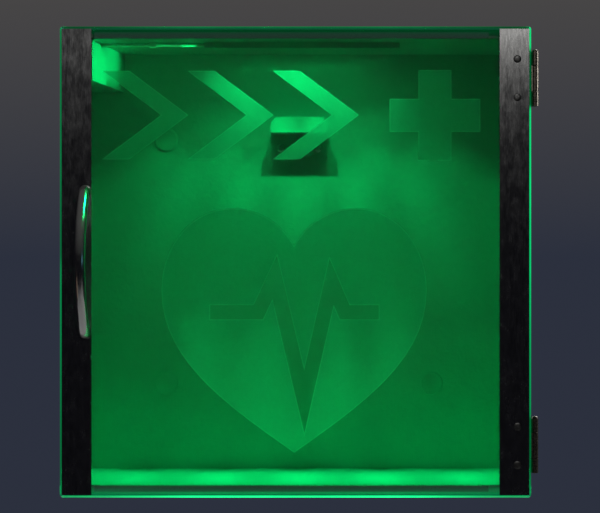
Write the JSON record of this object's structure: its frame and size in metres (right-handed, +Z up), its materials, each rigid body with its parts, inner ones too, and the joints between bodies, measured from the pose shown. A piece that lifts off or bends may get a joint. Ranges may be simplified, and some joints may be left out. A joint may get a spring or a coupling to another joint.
{
  "type": "defibrillator wall cabinet",
  "caption": "Recessed lit steel wall cabinet for a defibrillator, with a hinged clear door, bow handle, carrying hook and alarm box.",
  "frame": {"origin": "centre of the back panel's outer rear face", "axes": "+X to the right seen from the front, +Y into the wall, +Z up"},
  "size_m": [0.4368, 0.1706, 0.43],
  "materials": {
    "painted_steel": "fine orange-peel powder coat",
    "gasket_foam": "matt closed-cell foam",
    "clear_acrylic": "polished, with chamfered edges that catch the light",
    "brushed_aluminium": "fine vertical brushing",
    "dark_steel": "dark bronze, satin",
    "polished_steel": "polished with fine brushing",
    "zinc_steel": "zinc plated",
    "frosted_film": "frosted, cut edges",
    "white_plastic": "satin moulded",
    "black_plastic": "satin moulded",
    "circuit_board": "solder mask",
    "battery_sleeve": "shrink sleeve",
    "lamp_diffuser": "opal, lit green from behind",
    "rubber": "matt"
  },
  "bodies": {
    "cabinet": {"back_panel": "painted_steel", "side_panel_left": "painted_steel", "side_panel_right": "painted_steel", "top_panel": "painted_steel", "bottom_panel": "painted_steel", "front_frame": "painted_steel", "gasket_top": "gasket_foam", "gasket_bottom": "gasket_foam", "gasket_left": "gasket_foam", "gasket_right": "gasket_foam", "blanking_plug_lower_left": "white_plastic", "blanking_plug_lower_right": "white_plastic", "blanking_plug_upper_left": "white_plastic", "blanking_plug_upper_right": "white_plastic", "hook_bracket": "painted_steel", "hook_screw_left": "zinc_steel", "hook_screw_right": "zinc_steel", "alarm_box_cover": "painted_steel", "alarm_base_plate": "white_plastic", "alarm_circuit_board": "circuit_board", "alarm_battery_pack": "battery_sleeve", "alarm_sounder": "black_plastic", "alarm_cover_screw": "zinc_steel", "cable_grommet": "rubber", "lamp_housing": "painted_steel", "lamp_board": "circuit_board", "lamp_diffuser": "lamp_diffuser", "lamp_cable": "white_plastic", "lamp_cable_clip": "white_plastic", "magnetic_catch": "black_plastic", "door_switch": "white_plastic", "hinge_fixed_leaf_upper": "dark_steel", "hinge_fixed_leaf_lower": "dark_steel", "hinge_pin_upper": "dark_steel", "hinge_pin_lower": "dark_steel", "hinge_screw_upper_low": "dark_steel", "hinge_screw_upper_high": "dark_steel", "hinge_screw_lower_low": "dark_steel", "hinge_screw_lower_high": "dark_steel"},
    "door": {"door_pane": "clear_acrylic", "trim_strip_left": "brushed_aluminium", "trim_strip_right": "brushed_aluminium", "hinge_door_leaf_upper": "dark_steel", "hinge_door_leaf_lower": "dark_steel", "hinge_rivet_upper_low": "dark_steel", "hinge_rivet_upper_high": "dark_steel", "hinge_rivet_lower_low": "dark_steel", "hinge_rivet_lower_high": "dark_steel", "handle": "polished_steel", "handle_washer_upper": "zinc_steel", "handle_washer_lower": "zinc_steel", "handle_screw_upper": "zinc_steel", "handle_screw_lower": "zinc_steel", "catch_strike_plate": "zinc_steel", "door_switch_magnet": "black_plastic", "film_chevron_left": "frosted_film", "film_chevron_middle": "frosted_film", "film_chevron_right": "frosted_film", "film_plus": "frosted_film", "film_heart": "frosted_film"}
  },
  "joints": [
    {"name": "door_hinge", "type": "hinge", "parent": "cabinet", "child": "door", "pos_m": [0.2186, -0.1235, 0], "axis": [0, 0, 1], "range_deg": [0, 170]}
  ]
}
